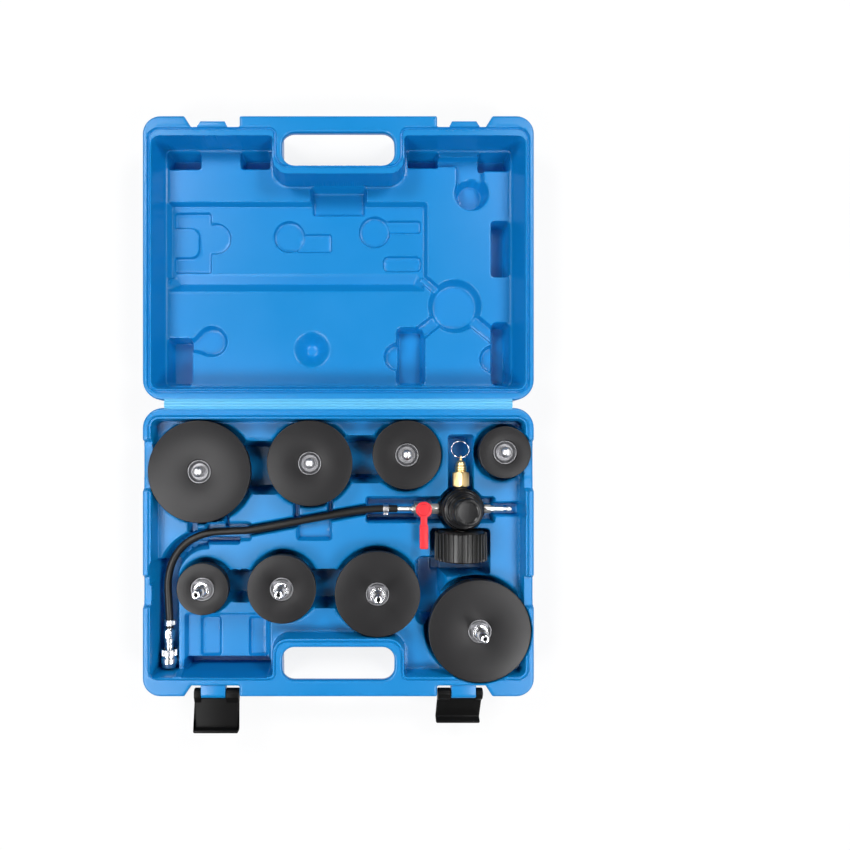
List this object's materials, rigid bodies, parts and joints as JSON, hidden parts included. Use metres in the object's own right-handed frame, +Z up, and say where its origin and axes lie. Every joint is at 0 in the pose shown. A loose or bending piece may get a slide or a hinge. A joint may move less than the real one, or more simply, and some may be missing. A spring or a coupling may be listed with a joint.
{
  "type": "turbo leak tester",
  "caption": "Boost leak test set in a hinged blue case: stepped hose plugs with air nipples, and a regulator with gauge, ball valve, hose and coupler.",
  "frame": {"origin": "centre of the base's underside, which stands on the bench", "axes": "+X to the right, +Y from the base's front edge towards the hinge and the open lid, +Z up"},
  "size_m": [0.35, 0.5544, 0.0727],
  "materials": {
    "case_plastic": "blow-moulded blue polyethylene, satin sheen",
    "latch_plastic": "moulded black polypropylene",
    "plug_plastic": "turned charcoal plastic, matt with fine turning marks",
    "washer_steel": "pressed bright steel",
    "stud_chrome": "polished and plated",
    "nipple_chrome": "polished and plated",
    "regulator_casting": "black painted zinc casting",
    "bonnet_plastic": "moulded black plastic",
    "knob_plastic": "moulded black plastic",
    "diaphragm_rubber": "fabric-backed rubber",
    "inner_brass": "bare brass",
    "inner_steel": "plain steel",
    "valve_nickel": "nickel-plated brass",
    "lever_red": "red dipped steel, glossy",
    "clamp_steel": "zinc-plated steel",
    "hose_rubber": "black rubber, slight sheen",
    "coupler_nickel": "nickel-plated steel",
    "valve_brass": "bare machined brass",
    "ring_steel": "bright steel wire",
    "gauge_case_steel": "black painted steel",
    "boot_rubber": "moulded black rubber",
    "lens_clear": "clear flat window",
    "dial_paint": "bluish white dial, printed",
    "screw_steel": "bright domed screw heads",
    "needle_paint": "black painted"
  },
  "bodies": {
    "base": {"base_shell": "case_plastic", "hinge_web_base": "case_plastic"},
    "lid": {"lid_shell": "case_plastic", "hinge_web_lid": "case_plastic"},
    "latch_left": {"latch_left": "latch_plastic"},
    "latch_right": {"latch_right": "latch_plastic"},
    "blank_plug_90": {"blank_plug_90": "plug_plastic", "blank_washer_90": "washer_steel", "domed_stud_90": "stud_chrome"},
    "blank_plug_75": {"blank_plug_75": "plug_plastic", "blank_washer_75": "washer_steel", "domed_stud_75": "stud_chrome"},
    "blank_plug_60": {"blank_plug_60": "plug_plastic", "blank_washer_60": "washer_steel", "domed_stud_60": "stud_chrome"},
    "blank_plug_45": {"blank_plug_45": "plug_plastic", "blank_washer_45": "washer_steel", "domed_stud_45": "stud_chrome"},
    "inlet_plug_45": {"inlet_plug_45": "plug_plastic", "inlet_washer_45": "washer_steel", "air_nipple_45": "nipple_chrome"},
    "inlet_plug_60": {"inlet_plug_60": "plug_plastic", "inlet_washer_60": "washer_steel", "air_nipple_60": "nipple_chrome"},
    "inlet_plug_75": {"inlet_plug_75": "plug_plastic", "inlet_washer_75": "washer_steel", "air_nipple_75": "nipple_chrome"},
    "inlet_plug_90": {"inlet_plug_90": "plug_plastic", "inlet_washer_90": "washer_steel", "air_nipple_90": "nipple_chrome"},
    "tester": {"regulator_body": "regulator_casting", "regulator_diaphragm": "diaphragm_rubber", "regulator_poppet": "inner_brass", "range_spring": "inner_steel", "regulator_bonnet": "bonnet_plastic", "supply_nipple": "nipple_chrome", "outlet_connector": "valve_nickel", "ball_valve_body": "valve_nickel", "hose_tail": "clamp_steel", "hose": "hose_rubber", "hose_clamps": "clamp_steel", "coupler_connector": "coupler_nickel", "coupler_body": "coupler_nickel", "safety_valve_body": "valve_brass", "gauge_case": "gauge_case_steel", "gauge_boot": "boot_rubber", "gauge_lens": "lens_clear", "gauge_dial": "dial_paint", "dial_screws": "screw_steel", "bourdon_tube": "inner_brass"},
    "knob": {"regulator_knob": "knob_plastic", "adjusting_screw": "inner_steel"},
    "valve": {"valve_ball": "inner_steel", "valve_stem": "inner_steel", "valve_lever": "lever_red"},
    "sleeve": {"coupler_sleeve": "coupler_nickel"},
    "relief": {"safety_valve_stem": "valve_brass", "safety_valve_spring": "inner_steel"},
    "ring": {"pull_ring": "ring_steel"},
    "needle": {"gauge_needle": "needle_paint"}
  },
  "joints": [
    {"name": "lid_hinge", "type": "hinge", "parent": "base", "child": "lid", "pos_m": [0, 0.1325, 0.04815], "axis": [1, 0, 0], "range_deg": [0, 180]},
    {"name": "latch_left_swing", "type": "hinge", "parent": "base", "child": "latch_left", "pos_m": [-0.1096, -0.1274, 0.041], "axis": [-1, 0, 0], "range_deg": [-78, 90]},
    {"name": "latch_right_swing", "type": "hinge", "parent": "base", "child": "latch_right", "pos_m": [0.1096, -0.1274, 0.041], "axis": [-1, 0, 0], "range_deg": [-46, 122]},
    {"name": "blank_plug_90_lift", "type": "slide", "parent": "base", "child": "blank_plug_90", "axis": [0, 0, 1], "range_m": [0, 0.12]},
    {"name": "blank_plug_75_lift", "type": "slide", "parent": "base", "child": "blank_plug_75", "axis": [0, 0, 1], "range_m": [0, 0.12]},
    {"name": "blank_plug_60_lift", "type": "slide", "parent": "base", "child": "blank_plug_60", "axis": [0, 0, 1], "range_m": [0, 0.12]},
    {"name": "blank_plug_45_lift", "type": "slide", "parent": "base", "child": "blank_plug_45", "axis": [0, 0, 1], "range_m": [0, 0.12]},
    {"name": "inlet_plug_45_lift", "type": "slide", "parent": "base", "child": "inlet_plug_45", "axis": [0, 0, 1], "range_m": [0, 0.12]},
    {"name": "inlet_plug_60_lift", "type": "slide", "parent": "base", "child": "inlet_plug_60", "axis": [0, 0, 1], "range_m": [0, 0.12]},
    {"name": "inlet_plug_75_lift", "type": "slide", "parent": "base", "child": "inlet_plug_75", "axis": [0, 0, 1], "range_m": [0, 0.12]},
    {"name": "inlet_plug_90_lift", "type": "slide", "parent": "base", "child": "inlet_plug_90", "axis": [0, 0, 1], "range_m": [0, 0.12]},
    {"name": "tester_lift", "type": "slide", "parent": "base", "child": "tester", "axis": [0, 0, 1], "range_m": [0, 0.12]},
    {"name": "knob_turn", "type": "hinge", "parent": "tester", "child": "knob", "pos_m": [0.112, 0.0375, 0.055], "axis": [0, 0, -1], "range_deg": [0, 1080]},
    {"name": "lever_turn", "type": "hinge", "parent": "tester", "child": "valve", "pos_m": [0.077, 0.0375, 0.04], "axis": [0, 0, 1], "range_deg": [-90, 0]},
    {"name": "relief_lift", "type": "slide", "parent": "tester", "child": "relief", "axis": [0, 1, 0], "range_m": [0, 0.002], "stiffness_N_per_m": 1500, "springref_m": -0.003},
    {"name": "ring_swing", "type": "hinge", "parent": "relief", "child": "ring", "pos_m": [0.112, 0.0846, 0.03], "axis": [1, 0, 0], "range_deg": [0, 112]},
    {"name": "sleeve_slide", "type": "slide", "parent": "tester", "child": "sleeve", "axis": [0, 1, 0], "range_m": [0, 0.003], "stiffness_N_per_m": 800, "springref_m": -0.003},
    {"name": "needle_turn", "type": "hinge", "parent": "tester", "child": "needle", "pos_m": [0.112, -0.0034, 0.03], "axis": [0, 1, 0], "range_deg": [0, 255], "stiffness_Nm_per_rad": 0.0001, "springref_deg": -17.19}
  ]
}
